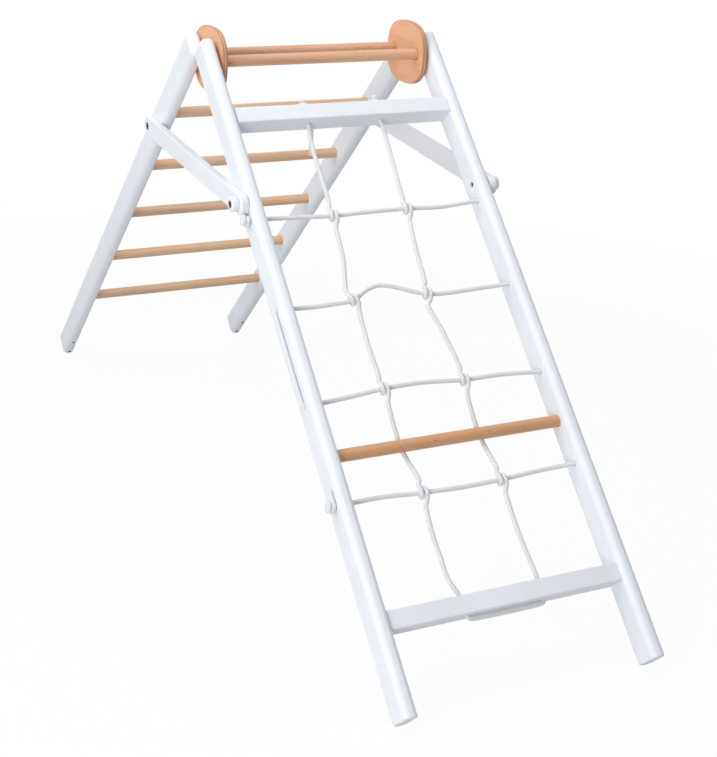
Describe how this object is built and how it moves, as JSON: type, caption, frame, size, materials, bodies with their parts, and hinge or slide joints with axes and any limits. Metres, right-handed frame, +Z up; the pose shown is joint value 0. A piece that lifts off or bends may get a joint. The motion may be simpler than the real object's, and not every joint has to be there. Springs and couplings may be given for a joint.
{
  "type": "climbing frame",
  "caption": "Folding wooden climbing frame for small children, with a rung ladder at the rear, a knotted rope net in front, plate hinges at the top and a hook stay at each side.",
  "frame": {"origin": "on the floor, under the middle of the standing frame", "axes": "+Z up, +Y towards the rear ladder, -Y towards the net, +X to the right of someone who climbs the net side"},
  "size_m": [0.622, 2.1476, 1.0912],
  "materials": {
    "white_lacquer": "white satin lacquer",
    "beech": "clear satin lacquer",
    "plywood": "clear satin lacquer, plies show at the edge",
    "rope": "white braid",
    "dark_steel": "black",
    "white_plastic": "smooth"
  },
  "bodies": {
    "rear_frame": {"rear_rail_left": "white_lacquer", "rear_rail_right": "white_lacquer", "rear_hinge_bar": "beech", "rear_rung_1": "beech", "rear_rung_2": "beech", "rear_rung_3": "beech", "rear_rung_4": "beech", "rear_rung_5": "beech", "rear_stay_bolt_left": "dark_steel", "rear_stay_bolt_right": "dark_steel"},
    "hinge_plates": {"hinge_plate_left": "plywood", "hinge_plate_right": "plywood"},
    "front_frame": {"front_rail_left": "white_lacquer", "front_rail_right": "white_lacquer", "front_hinge_bar": "beech", "front_rung": "beech", "upper_crossbar": "white_lacquer", "lower_crossbar": "white_lacquer", "net_rope_across": "rope", "net_rope_upright": "rope", "rope_tail_left": "rope", "rope_tail_right": "rope", "front_bolt_left": "dark_steel", "front_bolt_right": "dark_steel", "knob_left": "white_plastic", "knob_right": "white_plastic"},
    "stay_left": {"stay_left": "white_lacquer"},
    "stay_right": {"stay_right": "white_lacquer"}
  },
  "joints": [
    {"name": "rear_hinge", "type": "hinge", "parent": "rear_frame", "child": "hinge_plates", "pos_m": [0, 0.03242, 1.024], "axis": [1, 0, 0], "range_deg": [0, 45.5]},
    {"name": "front_hinge", "type": "hinge", "parent": "hinge_plates", "child": "front_frame", "pos_m": [0, -0.07208, 1.024], "axis": [1, 0, 0], "range_deg": [0, 44.35]},
    {"name": "stay_left_swing", "type": "hinge", "parent": "rear_frame", "child": "stay_left", "pos_m": [0, 0.22858, 0.83126], "axis": [-1, 0, 0], "range_deg": [0, 230]},
    {"name": "stay_right_swing", "type": "hinge", "parent": "rear_frame", "child": "stay_right", "pos_m": [0, 0.22858, 0.83126], "axis": [-1, 0, 0], "range_deg": [0, 230]}
  ],
  "couplings": [
    {"joint": "front_hinge", "follows": "rear_hinge", "ratio": 0.97445}
  ]
}
